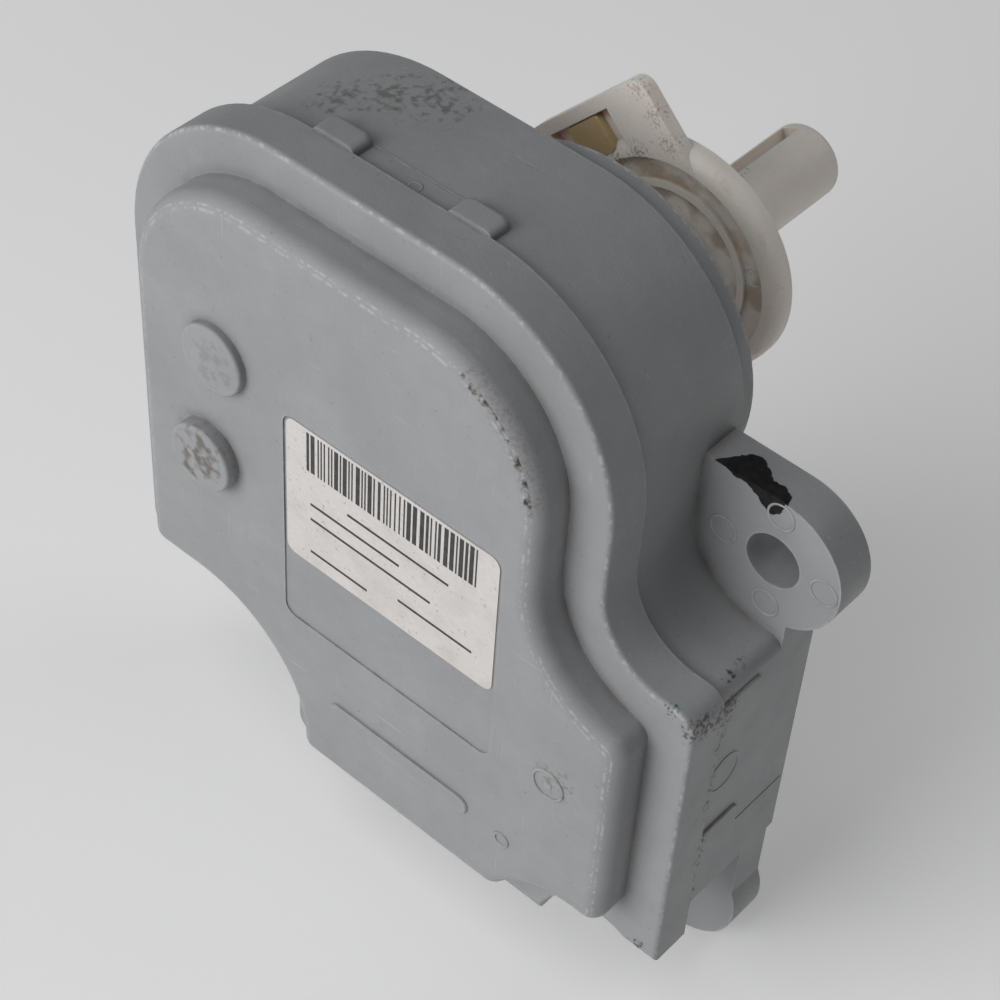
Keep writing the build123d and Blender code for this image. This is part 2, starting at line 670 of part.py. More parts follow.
def rotor_core():
    front, back = ROTOR_X
    core = tube(ROTOR_HUB_R, MOTOR_SHAFT_R, front, back)
    for turn in (0, 120, 240):
        neck = block(front, back, -POLE_HALF, POLE_HALF, 1.2, 4.4)
        shoe = tube(ROTOR_R, SHOE_INNER_R, front, back) & block(front, back, -SHOE_HALF, SHOE_HALF, 1.0, 6.0)
        core += Rot(turn, 0, 0) * (neck + shoe)
    return MOTOR_AT * (core - rod(MOTOR_SHAFT_R, -12, 2))


def coil(turn):
    front, back = ROTOR_X
    outer = block(front - COIL_OVERHANG, back + COIL_OVERHANG, -COIL_HALF, COIL_HALF, *COIL_Z)
    winding = fillet(outer.edges().filter_by(Axis.Z), 0.8)
    winding -= block(front - 0.02, back + 0.02, -POLE_HALF - 0.02, POLE_HALF + 0.02, 2, 5)
    return MOTOR_AT * Rot(turn, 0, 0) * winding


def commutator():
    ring = tube(COMMUTATOR_R, MOTOR_SHAFT_R, *COMMUTATOR_X)
    for turn in (60, 180, 300):
        ring -= Rot(turn, 0, 0) * block(1.4, 5, -0.12, 0.12, 1.5, 3)
    return MOTOR_AT * ring


def brush(side):
    """Brass brush arm: a strip beside the commutator, through the end cap to its solder tab."""
    strip = block(1.6, CAN_BACK_X + 2.0, -1.0, 1.0, BRUSH_Z - 0.15, BRUSH_Z + 0.15)
    strip += block(2.0, 3.6, -0.7, 0.7, 2.03, BRUSH_Z)
    return MOTOR_AT * Rot(0 if side > 0 else 180, 0, 0) * strip


def motor_lead(side):
    """Brass strip from a brush tab forward to the circuit board."""
    lead_z = side * (BRUSH_Z + 0.15)
    edge_z = lead_z + side * 0.4
    low, high = min(lead_z, edge_z), max(lead_z, edge_z)
    front = BOARD_Y - BOARD_T - 0.2 - MOTOR_Y
    strip = block(CAN_BACK_X + 1.0, CAN_BACK_X + 2.0, front, 1.0, low, high)
    return MOTOR_AT * strip


def worm():
    """Single-start worm pressed on the motor shaft."""
    length = WORM_TURNS * WORM_PITCH
    core = tube(WORM_R - 0.62, MOTOR_SHAFT_R, -length / 2 - 0.9, length / 2 + 0.9)
    helix = Helix(WORM_PITCH, length, WORM_R - 0.75)
    slope = tan(radians(PRESSURE_ANGLE))
    tip = WORM_PITCH / 4 - BACKLASH / 4 - 0.45 * slope
    root = WORM_PITCH / 4 - BACKLASH / 4 + 0.75 * slope
    profile = Polygon((WORM_R - 0.75, -root), (WORM_R + 0.45, -tip), (WORM_R + 0.45, tip),
                      (WORM_R - 0.75, root), align=None)
    thread = sweep(Plane.XZ * profile, path=helix, is_frenet=True)
    # Turn the thread from +Z to +X, with its start on the +Z side
    thread = Pos(-length / 2, 0, 0) * Rot(0, 90, 0) * Rot(0, 0, 180) * thread
    return MOTOR_AT * Pos(WORM_MID_X, 0, 0) * (core + thread)


def pin_places():
    return [PIN_MID_X + (i - (PIN_COUNT - 1) / 2) * PIN_PITCH for i in range(PIN_COUNT)]


def connector_pin(x):
    """Square pin: up through the shroud, then forward into the circuit board."""
    half = PIN_SIZE / 2
    pin = block(x - half, x + half, PIN_Y - half, PIN_Y + half, PIN_TIP_Z, PIN_BEND_Z + half)
    pin = chamfer(pin.faces().sort_by(Axis.Z)[0].edges(), 0.2)
    pin += block(x - half, x + half, BOARD_Y - BOARD_T - 0.15, PIN_Y, PIN_BEND_Z - half, PIN_BEND_Z + half)
    return pin


def circuit_board():
    """Board over the output gear, with its tongue down to the connector pins."""
    half = BOARD_WIDTH / 2
    sketch = patch(-half, half, BOARD_FOOT_Z, -12.0) + patch(2.5 - half, half - 2.5, -12.0, 0)
    sketch += Circle(BOARD_R)
    board = between(sketch, BOARD_Y - BOARD_T, BOARD_Y)
    board -= disc((0, 0), BOARD_HOLE_R, BOARD_Y - 3, BOARD_Y + 3)
    for at in STAKES:
        board -= disc(at, STAKE_R + 0.1, BOARD_Y - 3, BOARD_Y + 3)
    half = PIN_SIZE / 2 + 0.03
    for x in pin_places():
        board -= block(x - half, x + half, BOARD_Y - 3, BOARD_Y + 3, PIN_BEND_Z - half, PIN_BEND_Z + half)
    for side in (-1, 1):
        z = WORM_Z + side * (BRUSH_Z + 0.35)
        board -= block(CAN_BACK_X + 0.9, CAN_BACK_X + 2.1, BOARD_Y - 3, BOARD_Y + 3, z - 0.3, z + 0.3)
    return board


def track(inner, outer):
    """Printed resistor arc on the board's rear face, open at the bottom."""
    ring = Circle(outer) - Circle(inner) - Pos(0, -outer) * Rectangle(TRACK_GAP, outer)
    return between(ring, BOARD_Y, BOARD_Y + TRACK_T)


def outer_track():
    return track(8.3, 9.9)


def inner_track():
    return track(5.7, 7.2)


def wiper():
    """Brass contact arm on the output gear's hub, with two fingers on the tracks."""
    front = HUB_FRONT_Y - 0.25
    arm = disc((0, 0), 4.1, front, HUB_FRONT_Y) + block(0, 9.6, front, HUB_FRONT_Y, -1.1, 1.1)
    arm -= disc((0, 0), STUB_R + 0.02, -20, 0)
    for r in FINGER_RADII:
        arm += block(r - 0.35, r + 0.35, BOARD_Y + 0.1, HUB_FRONT_Y, -0.5, 0.5)
    return Rot(0, -90, 0) * arm


def label():
    """Thin rounded sticker in the upper part of its seat."""
    sketch = Pos(LABEL_X, LABEL_Z) * RectangleRounded(LABEL_WIDTH, LABEL_HEIGHT, LABEL_CORNER_R)
    back = PLATEAU_Y + RECESS_DEPTH
    return between(sketch, back - LABEL_T, back)


NODES = {
    "rear_housing": rear_housing,
    "front_cover": front_cover,
    "label": label,
    "output_lever": output_lever,
    "output_gear": output_gear,
    "third_gear": third_gear,
    "second_gear": second_gear,
    "worm_wheel": worm_wheel,
    "first_gear_pin": first_gear_pin,
    "second_gear_pin": second_gear_pin,
    "third_gear_pin": third_gear_pin,
    "motor_can": motor_can,
    "motor_end_cap": motor_end_cap,
    "motor_bush_front": motor_bush_front,
    "motor_bush_rear": motor_bush_rear,
    "motor_shaft": motor_shaft,
    "motor_worm": worm,
    "magnet_upper": magnet_upper,
    "magnet_lower": magnet_lower,
    "rotor_core": rotor_core,
    "coil_1": lambda: coil(0),
    "coil_2": lambda: coil(120),
    "coil_3": lambda: coil(240),
    "commutator": commutator,
    "brush_upper": lambda: brush(1),
    "brush_lower": lambda: brush(-1),
    "motor_lead_upper": lambda: motor_lead(1),
    "motor_lead_lower": lambda: motor_lead(-1),
    "circuit_board": circuit_board,
    "outer_track": outer_track,
    "inner_track": inner_track,
    "wiper": wiper,
}
for number, x in enumerate(pin_places(), start=1):
    NODES[f"connector_pin_{number}"] = lambda x=x: connector_pin(x)

os.makedirs("parts", exist_ok=True)
for node, make in NODES.items():
    export_step(make(), f"parts/{node}.step")
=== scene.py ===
import json
import math
import random

import bmesh
import bpy
from mathutils import Matrix, Vector


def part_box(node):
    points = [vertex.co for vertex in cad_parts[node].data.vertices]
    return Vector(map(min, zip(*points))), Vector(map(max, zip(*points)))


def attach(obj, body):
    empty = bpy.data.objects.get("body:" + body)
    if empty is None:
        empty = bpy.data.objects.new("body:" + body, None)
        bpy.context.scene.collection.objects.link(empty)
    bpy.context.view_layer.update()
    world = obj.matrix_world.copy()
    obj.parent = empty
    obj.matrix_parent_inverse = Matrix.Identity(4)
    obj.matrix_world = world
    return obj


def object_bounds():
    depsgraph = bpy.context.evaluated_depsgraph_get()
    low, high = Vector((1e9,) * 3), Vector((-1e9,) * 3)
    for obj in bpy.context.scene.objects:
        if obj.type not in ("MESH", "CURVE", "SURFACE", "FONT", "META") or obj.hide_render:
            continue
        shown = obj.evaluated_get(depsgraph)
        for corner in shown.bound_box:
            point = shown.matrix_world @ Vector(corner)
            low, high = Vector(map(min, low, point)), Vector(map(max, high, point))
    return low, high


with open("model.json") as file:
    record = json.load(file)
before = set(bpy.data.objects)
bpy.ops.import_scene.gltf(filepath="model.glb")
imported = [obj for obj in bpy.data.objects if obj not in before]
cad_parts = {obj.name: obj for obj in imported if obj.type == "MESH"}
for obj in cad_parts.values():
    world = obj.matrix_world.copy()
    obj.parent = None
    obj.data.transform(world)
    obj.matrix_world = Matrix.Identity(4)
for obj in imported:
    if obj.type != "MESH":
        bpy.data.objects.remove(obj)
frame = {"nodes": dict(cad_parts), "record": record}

# Looks of the flap actuator, in metres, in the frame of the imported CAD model.
# The cover faces -Y, the output post leaves along +Y and +Z is up.
cad_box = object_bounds()
MM = 0.001
NODES = frame["nodes"]

# Depth planes, in millimetres, front to back
PANEL_Y = -20.3
RIM_Y = -16.4
PARTING_Y = -12.2
LUG_FRONT_Y = -4.0
BACK_Y = 1.2
BULGE_Y = 2.8
DISC_Y = 12.3
DISH_Y = DISC_Y + 0.6

# Other places, in millimetres, and faces read from the frame
LUG_SIDE = (24.4, -6.6)
ARM_ANGLE = 136.5
PANEL_ARC_R = 13.0
FIRST_BOSS = (-23.05, -21.7, -15.83)
SECOND_BOSS = (-21.8, -21.1, -3.9)
HOUSING_INSET = 0.6
RIGHT_RIM_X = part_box("front_cover")[1].x / MM
TOP_WALL_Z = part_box("front_cover")[1].z / MM - HOUSING_INSET
RIGHT_WALL_X = RIGHT_RIM_X - HOUSING_INSET
LABEL_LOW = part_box("label")[0] / MM
LABEL_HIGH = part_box("label")[1] / MM

# Outward normals of the faces that carry small pieces
FRONT = (0, -1, 0)
REAR = (0, 1, 0)
RIGHT = (1, 0, 0)
TOP = (0, 0, 1)


# ---------------------------------------------------------------- materials

class Shader:
    """A material under construction. Lengths are in millimetres.

    Most methods add nodes and return an output socket; add returns the node itself."""

    def __init__(self, name, **constants):
        self.material = bpy.data.materials.new(name)
        self.material.use_nodes = True
        self.tree = self.material.node_tree
        self.tree.nodes.clear()
        self.surface = self.add("ShaderNodeBsdfPrincipled")
        output = self.add("ShaderNodeOutputMaterial")
        self.tree.links.new(self.surface.outputs[0], output.inputs[0])
        self.place = self.add("ShaderNodeTexCoord").outputs["Object"]
        split = self.add("ShaderNodeSeparateXYZ")
        self.feed(split.inputs[0], self.place)
        self.depth = split.outputs["Y"]
        for key, value in constants.items():
            self.surface.inputs[key.replace("_", " ")].default_value = value

    def add(self, kind, **settings):
        node = self.tree.nodes.new(kind)
        for key, value in settings.items():
            setattr(node, key, value)
        return node

    def feed(self, socket, value):
        """Link a socket to another, or set its constant."""
        if isinstance(value, bpy.types.NodeSocket):
            self.tree.links.new(value, socket)
        elif hasattr(value, "__len__"):
            socket.default_value = (*value, 1.0) if len(socket.default_value) == 4 else value
        else:
            socket.default_value = value

    def set(self, **inputs):
        """Feed the surface's inputs, named with _ for a space."""
        for key, value in inputs.items():
            self.feed(self.surface.inputs[key.replace("_", " ")], value)

    def noise(self, size, detail=3.0, stretch=(1, 1, 1), shift=0.0):
        """Noise with features about size across, divided along each axis by stretch."""
        mapping = self.add("ShaderNodeMapping")
        self.feed(mapping.inputs["Vector"], self.place)
        self.feed(mapping.inputs["Location"], (shift, shift, shift))
        self.feed(mapping.inputs["Scale"], stretch)
        node = self.add("ShaderNodeTexNoise")
        self.feed(node.inputs["Vector"], mapping.outputs["Vector"])
        self.feed(node.inputs["Scale"], 1 / (size * MM))
        self.feed(node.inputs["Detail"], detail)
        return node.outputs["Fac"]

    def math(self, operation, a, b=0.0):
        node = self.add("ShaderNodeMath", operation=operation)
        self.feed(node.inputs[0], a)
        self.feed(node.inputs[1], b)
        return node.outputs[0]

    def span(self, value, low, high, to_low=0.0, to_high=1.0):
        """value mapped from low..high, held at the ends."""
        node = self.add("ShaderNodeMapRange", clamp=True)
        for socket, number in zip(node.inputs[:5], (value, low, high, to_low, to_high)):
            self.feed(socket, number)
        return node.outputs[0]

    def mix(self, share, a, b):
        """Colour a, going over to colour b as share rises from 0 to 1."""
        node = self.add("ShaderNodeMix", data_type="RGBA")
        first, second = node.inputs[6:8]
        self.feed(node.inputs["Factor"], share)
        self.feed(first, a)
        self.feed(second, b)
        return node.outputs[2]

    def spot(self, at, radius):
        """1 at a point, falling to 0 at radius from it."""
        node = self.add("ShaderNodeVectorMath", operation="DISTANCE")
        self.feed(node.inputs[0], self.place)
        self.feed(node.inputs[1], [c * MM for c in at])
        return self.span(node.outputs["Value"], 0.0, radius * MM, 1.0, 0.0)

    def spots(self, places, radius):
        """1 at any of some points, falling to 0 at radius from them."""
        total = self.spot(places[0], radius)
        for at in places[1:]:
            total = self.math("MAXIMUM", total, self.spot(at, radius))
        return total

    def band(self, low, high, soft=0.05):
        """1 where the depth Y is between low + soft and high, falling to 0 over soft."""
        up = self.span(self.depth, low * MM, (low + soft) * MM)
        down = self.span(self.depth, high * MM, (high + soft) * MM, 1.0, 0.0)
        return self.math("MULTIPLY", up, down)

    def edges(self, radius):
        """1 on sharp edges, 0 on flat faces."""
        bevel = self.add("ShaderNodeBevel", samples=4)
        self.feed(bevel.inputs["Radius"], radius * MM)
        normal = self.add("ShaderNodeNewGeometry").outputs["Normal"]
        dot = self.add("ShaderNodeVectorMath", operation="DOT_PRODUCT")
        self.feed(dot.inputs[0], bevel.outputs[0])
        self.feed(dot.inputs[1], normal)
        return self.span(dot.outputs["Value"], 0.995, 0.90)

    def hollows(self, reach):
        """1 deep in corners and gaps, 0 on open faces, read from ambient occlusion; plastic() paints shade
        with it.
        """
        node = self.add("ShaderNodeAmbientOcclusion", samples=6)
        self.feed(node.inputs["Distance"], reach * MM)
        return self.span(node.outputs["AO"], 0.95, 0.35)

    def bump(self, height, depth, below=None):
        """Normal of a relief that rises by depth as height goes from 0 to 1, on top of below."""
        node = self.add("ShaderNodeBump")
        self.feed(node.inputs["Height"], height)
        self.feed(node.inputs["Distance"], depth * MM)
        if below is not None:
            self.feed(node.inputs["Normal"], below)
        return node.outputs[0]


def shade(colour, factor):
    return [min(1.0, c * factor) for c in colour]


GLOW_REACH = 2.5
SCRATCH_DEPTH = 0.02
# Colour of the painted shade in corners and gaps
CORNER_SHADE = (0.055, 0.047, 0.038)


def plastic(name, colour, rough=0.5, tone=0.07, grain=0.25, depth=0.012, wear_and_highlight=0.35, corner_shade=0.5,
            stains=(), rims=(), glow=0.0):
    """Moulded plastic: mottled, finely textured, scuffed on its edges, with painted shade in its corners.

    tone is how much the mottling varies, grain and depth are the texture's size and relief, stains
    is a list of stain(), rims holds the depth bands of rounded edges that get pale painted highlights,
    broken up like scuffs, and glow is how far the plastic lets light through."""
    s = Shader(name, Specular_IOR_Level=0.4, Subsurface_Weight=glow, Subsurface_Scale=GLOW_REACH * MM)
    # Broad mottling, cloudy patches, dark specks and fine grain
    mottle = s.noise(9.0, 4.0)
    base = s.mix(s.span(mottle, 0.3, 0.7), shade(colour, 1 - tone), shade(colour, 1 + tone))
    cloud = s.span(s.noise(2.2, 5.0, shift=0.3), 0.35, 0.7)
    base = s.mix(s.math("MULTIPLY", cloud, 0.35), base, shade(colour, 1 - 1.6 * tone))
    speck = s.span(s.noise(0.5, 2.0, shift=0.7), 0.70, 0.76)
    base = s.mix(s.math("MULTIPLY", speck, 0.5), base, shade(colour, 0.55))
    fine = s.noise(grain, 3.0)
    base = s.mix(s.span(fine, 0.35, 0.65, 0.0, 0.12), base, shade(colour, 1.25))
    # Thin scratches in two directions
    along = s.span(s.noise(0.5, 2.0, (0.06, 1.0, 1.3), 0.2), 0.695, 0.72)
    across = s.span(s.noise(0.45, 2.0, (1.2, 1.0, 0.07), 0.9), 0.70, 0.73)
    scratch = s.math("MULTIPLY", s.math("MAXIMUM", along, across), s.span(mottle, 0.45, 0.6))
    base = s.mix(s.math("MULTIPLY", scratch, wear_and_highlight), base, shade(colour, 1.45))
    # Pale worn sharp edges, and pale painted highlights along the rounded rims, broken up like scuffs
    edge = s.math("MULTIPLY", s.edges(0.45), s.span(s.noise(1.1, 4.0, shift=1.7), 0.38, 0.62))
    for low, high in rims:
        broken = s.span(s.noise(0.55, 5.0, shift=low), 0.47, 0.62)
        rim_highlight = s.math("MULTIPLY", s.band(low, high), broken)
        edge = s.math("MAXIMUM", edge, s.math("MULTIPLY", rim_highlight, 1.4))
    base = s.mix(s.math("MULTIPLY", edge, wear_and_highlight), base, shade(colour, 1.6))
    # Painted shade: darkening in corners and gaps, read from ambient occlusion and broken by noise, then the
    # stains
    corner = s.math("MULTIPLY", s.hollows(1.2), s.span(s.noise(2.5, 4.0, shift=2.4), 0.3, 0.7, 0.3, 1.0))
    base = s.mix(s.math("MULTIPLY", corner, corner_shade), base, CORNER_SHADE)
    stained = None
    for places, radius, tint, size, strength, zone in stains:
        near = s.spots(places, radius)
        broken = s.math("ADD", s.noise(size, 8.0, shift=size), s.math("MULTIPLY", near, 0.2))
        share = s.span(broken, 0.6, 0.76, 0.0, strength)
        share = s.math("MULTIPLY", share, s.span(near, 0.0, 0.4))
        if zone:
            share = s.math("MULTIPLY", share, s.band(*zone))
        base = s.mix(share, base, tint)
        stained = share if stained is None else s.math("MAXIMUM", stained, share)
    roughness = s.span(s.noise(3.0, 4.0, shift=4.0), 0.3, 0.7, rough - 0.06, rough + 0.08)
    roughness = s.math("ADD", roughness, s.math("MULTIPLY", edge, 0.12))
    if stained is not None:
        roughness = s.math("ADD", roughness, s.math("MULTIPLY", stained, 0.15))
    # Relief: fine grain, a shallow wave and the scratches
    normal = s.bump(fine, depth)
    normal = s.bump(s.noise(1.4, 3.0, shift=5.0), depth * 1.6, normal)
    normal = s.bump(s.math("MULTIPLY", scratch, -1.0), SCRATCH_DEPTH, normal)
    s.set(Base_Color=base, Roughness=roughness, Normal=normal)
    return s.material


def metal(name, colour, rough=0.3, stretch=(1, 1, 1), size=0.3, tarnish=0.3):
    """Metal with drawn or turned lines, tarnish and brighter edges."""
    s = Shader(name, Metallic=1.0)
    lines = s.noise(size, 4.0, stretch)
    base = s.mix(s.span(lines, 0.3, 0.7), shade(colour, 0.86), shade(colour, 1.08))
    spots = s.span(s.noise(1.8, 5.0, shift=1.1), 0.5, 0.72)
    base = s.mix(s.math("MULTIPLY", spots, tarnish), base, shade(colour, 0.45))
    edge = s.math("MULTIPLY", s.edges(0.15), 0.4)
    base = s.mix(edge, base, shade(colour, 1.3))
    roughness = s.span(lines, 0.3, 0.7, rough - 0.06, rough + 0.1)
    roughness = s.math("ADD", roughness, s.math("MULTIPLY", spots, 0.2))
    s.set(Base_Color=base, Roughness=roughness, Normal=s.bump(lines, 0.006))
    return s.material


def paper(name, colour):
    """Satin label stock with fibres, rubbed edges and faint smudges."""
    s = Shader(name, Specular_IOR_Level=0.45)
    fibre = s.noise(0.35, 4.0, (0.5, 1.0, 1.0))
    base = s.mix(s.span(fibre, 0.3, 0.7), shade(colour, 0.95), shade(colour, 1.04))
    smudge = s.span(s.noise(3.5, 5.0, shift=0.6), 0.48, 0.75)
    base = s.mix(s.math("MULTIPLY", smudge, 0.35), base, shade(colour, 0.62))
    fleck = s.span(s.noise(0.4, 2.0, shift=3.0), 0.68, 0.72)
    base = s.mix(s.math("MULTIPLY", fleck, 0.4), base, (0.12, 0.11, 0.10))
    s.set(Base_Color=base, Roughness=s.span(fibre, 0.2, 0.8, 0.38, 0.52), Normal=s.bump(fibre, 0.004))
    return s.material


def coating(name, colour, rough, patch=0.25):
    """Ink, paint or track print: uneven, with thin worn places."""
    s = Shader(name)
    thin = s.span(s.noise(0.8, 5.0), 0.35, 0.75)
    base = s.mix(s.math("MULTIPLY", thin, patch), colour, [c * 0.5 + 0.12 for c in colour])
    wave = s.noise(0.5, 4.0, shift=0.4)
    roughness = s.span(wave, 0.3, 0.7, rough - 0.08, rough + 0.12)
    s.set(Base_Color=base, Roughness=roughness, Normal=s.bump(wave, 0.01))
    return s.material


def board(name):
    """Green solder mask over copper tracks that show faintly."""
    s = Shader(name, Specular_IOR_Level=0.55)
    cell = s.add("ShaderNodeTexVoronoi", feature="DISTANCE_TO_EDGE", distance="MANHATTAN")
    s.feed(cell.inputs["Vector"], s.place)
    s.feed(cell.inputs["Scale"], 1 / (4.5 * MM))
    tracks = s.span(cell.outputs["Distance"], 0.05, 0.09, 1.0, 0.0)
    weave = s.noise(0.4, 3.0)
    base = s.mix(s.span(weave, 0.3, 0.7), (0.018, 0.105, 0.04), (0.025, 0.14, 0.055))
    base = s.mix(s.math("MULTIPLY", tracks, 0.7), base, (0.05, 0.24, 0.09))
    normal = s.bump(tracks, 0.03, s.bump(weave, 0.004))
    s.set(Base_Color=base, Roughness=s.span(weave, 0.3, 0.7, 0.22, 0.34), Normal=normal)
    return s.material


def stain(places, radius, colour, size, strength, zone=None):
    """Dirt within radius of some places, broken up by noise of a size; zone is a band of depth Y."""
    return places, radius, colour, size, strength, zone


def case_stains():
    """Grime on the case: bosses, rim corner, panel edge, parting line and foot."""
    arc = [(PANEL_ARC_R * math.cos(a), PANEL_Y + 0.2, PANEL_ARC_R * math.sin(a))
           for a in [math.radians(d) for d in range(14, 66, 5)]]
    right_rim = [(27.2, RIM_Y + 1.8 * i, -15.2 - 0.5 * i) for i in range(4)]
    parting = [(RIGHT_RIM_X, PARTING_Y + 0.5, z) for z in range(-44, -14, 2)]
    top_dirt = [(-17.5, -3.8, TOP_WALL_Z), (-14.5, -2.0, TOP_WALL_Z), (-20.5, -6.5, TOP_WALL_Z)]
    crack = [(26.5 - 0.35 * i, -11.6 + 1.1 * i, -13.9 - 0.25 * i) for i in range(8)]
    return [
        stain([FIRST_BOSS], 5.0, (0.13, 0.115, 0.10), 1.1, 0.85),
        stain([SECOND_BOSS], 4.0, (0.22, 0.21, 0.20), 0.9, 0.45),
        stain(arc, 1.8, (0.06, 0.05, 0.04), 0.6, 1.0, (PANEL_Y + 0.02, PANEL_Y + 0.3)),
        stain(arc, 1.9, (0.16, 0.14, 0.12), 0.35, 0.35),
        stain(right_rim, 2.0, BROWN, 0.4, 0.85),
        stain(parting, 1.5, BROWN, 0.45, 0.8),
        stain(crack, 0.9, (0.04, 0.035, 0.03), 0.5, 0.9),
        stain([(24.9, RIM_Y, -14.0)], 1.1, GREEN_PAINT, 0.35, 0.95),
        stain([(25.3, RIM_Y, -46.3)], 1.6, (0.05, 0.04, 0.03), 0.5, 0.9),
        stain(top_dirt, 4.5, (0.10, 0.095, 0.09), 0.7, 0.6),
        stain([(17.4, -19.5, -26.5)], 3.2, (0.15, 0.13, 0.11), 0.6, 0.5),
    ]


def lever_stains():
    """A brownish tint over the dish, specks where the arm meets the disc, and grime by the post's groove."""
    dish = [(7.5 * math.cos(a), DISH_Y, 7.5 * math.sin(a))
            for a in [math.radians(d) for d in range(0, 360, 40)]]
    inner = [(-4.4, DISC_Y, 8.7), (-7.0, DISC_Y, 6.6), (-8.8, DISC_Y, 3.8)]
    outer = [(-5.5, DISC_Y, 15.2), (-3.5, DISC_Y, 13.4), (-1.6, DISC_Y, 11.4)]
    post = [(-1.6, 22.0, 3.0), (-1.6, 19.0, 3.0)]
    return [
        stain(dish, 5.0, (0.50, 0.40, 0.30), 3.0, 0.75, (DISC_Y + 0.3, DISC_Y + 0.9)),
        stain(inner, 2.2, (0.16, 0.11, 0.08), 0.3, 0.6),
        stain(outer, 1.8, (0.20, 0.15, 0.11), 0.3, 0.5),
        stain(post, 2.4, (0.22, 0.17, 0.12), 0.4, 0.7),
    ]


CASE = (0.315, 0.318, 0.325)
WHITE = (0.86, 0.81, 0.75)
BROWN = (0.085, 0.062, 0.045)
GREEN_PAINT = (0.015, 0.10, 0.06)
# Depth bands of the case's rounded rims, which get pale painted highlights broken up like scuffs
CASE_RIMS = [
    (PANEL_Y + 0.02, PANEL_Y + 0.08),
    (PANEL_Y + 0.16, PANEL_Y + 0.26),
    (RIM_Y + 0.02, RIM_Y + 0.22),
    (BACK_Y - 0.42, BACK_Y - 0.05),
    (BULGE_Y - 0.3, BULGE_Y - 0.05),
]
MATERIALS = {
    "case_grey": plastic("case_grey", CASE, rough=0.5, depth=0.02, wear_and_highlight=0.5, stains=case_stains(),
                         rims=CASE_RIMS),
    "label_paper": paper("label_paper", (0.66, 0.63, 0.61)),
    "lever_white": plastic("lever_white", WHITE, rough=0.4, tone=0.05, depth=0.006, wear_and_highlight=0.1,
                           corner_shade=0.5, stains=lever_stains(), glow=0.3),
    "gear_white": plastic("gear_white", (0.80, 0.78, 0.73), rough=0.36, tone=0.04, depth=0.005, wear_and_highlight=0.1,
                          corner_shade=0.3),
    "gear_natural": plastic("gear_natural", (0.66, 0.60, 0.46), rough=0.36, tone=0.05, depth=0.005, wear_and_highlight=0.1,
                            corner_shade=0.3),
    "pin_steel": metal("pin_steel", (0.60, 0.60, 0.61), rough=0.2, stretch=(1, 0.1, 1)),
    "can_steel": metal("can_steel", (0.66, 0.66, 0.64), rough=0.32, stretch=(0.15, 1, 1), size=0.5),
    "cap_black": plastic("cap_black", (0.03, 0.03, 0.032), rough=0.42, wear_and_highlight=0.3, corner_shade=0.2),
    "bush_bronze": metal("bush_bronze", (0.62, 0.43, 0.24), rough=0.45, size=0.12),
    "worm_brass": metal("worm_brass", (0.80, 0.62, 0.32), rough=0.25, stretch=(2, 1, 1), size=0.2),
    "magnet_dark": plastic("magnet_dark", (0.055, 0.055, 0.058), rough=0.6, grain=0.1, wear_and_highlight=0.25, corner_shade=0.1),
    "core_iron": metal("core_iron", (0.34, 0.34, 0.35), rough=0.42, stretch=(4, 0.2, 0.2), size=0.5),
    "coil_copper": metal("coil_copper", (0.72, 0.32, 0.16), rough=0.3, stretch=(0.2, 3, 3), size=0.3),
    "contact_brass": metal("contact_brass", (0.80, 0.62, 0.32), rough=0.24, stretch=(0.2, 1, 1)),
    "board_green": board("board_green"),
    "track_carbon": coating("track_carbon", (0.018, 0.018, 0.019), 0.5),
    "pin_tin": metal("pin_tin", (0.72, 0.71, 0.68), rough=0.28, stretch=(1, 1, 0.2)),
}
for entry in frame["record"]["subparts"]:
    mesh = NODES[entry["node"]].data
    mesh.materials.clear()
    mesh.materials.append(MATERIALS[entry["material_slot"]])
INK = coating("label_ink", (0.02, 0.02, 0.022), 0.5)
PAINT = coating("paint_smear", (0.006, 0.006, 0.007), 0.32, patch=0.1)
# Amber colour of the arm's pad: painted light shining through a thin wall from behind
PAINTED_GLOW = plastic("pad_painted_glow", (0.52, 0.38, 0.20), rough=0.3, tone=0.08, depth=0.004, wear_and_highlight=0.1, corner_shade=0.3)
SOLDER = metal("solder", (0.74, 0.74, 0.72), rough=0.22, size=0.6)
CHIP = plastic("chip_black", (0.022, 0.022, 0.024), rough=0.45, grain=0.08, depth=0.004, wear_and_highlight=0.15, corner_shade=0.1)


# ---------------------------------------------------------------- small pieces

WELD = 1e-5
SHARP_ANGLE = 40.0
SUNK = 0.03


def piece(name, build, material, body):
    """A new object whose mesh build(bm) fills in millimetres."""
    bm = bmesh.new()
    build(bm)
    bmesh.ops.remove_doubles(bm, verts=bm.verts, dist=WELD)
    bmesh.ops.recalc_face_normals(bm, faces=bm.faces)
    bm.transform(Matrix.Scale(MM, 4))
    mesh = bpy.data.meshes.new(name)
    bm.to_mesh(mesh)
    bm.free()
    obj = bpy.data.objects.new(name, mesh)
    bpy.context.scene.collection.objects.link(obj)
    mesh.materials.append(material)
    mesh.set_sharp_from_angle(angle=math.radians(SHARP_ANGLE))
    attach(obj, body)
    return obj


def facing(normal, at):
    """Matrix of a face at a point: local z on its outward normal, local y on Z, or on Y if it is level."""
    z = Vector(normal)
    y = Vector((0, 1, 0)) if abs(z.z) > 0.9 else Vector((0, 0, 1))
    return Matrix.Translation(at) @ Matrix((y.cross(z), y, z)).transposed().to_4x4()


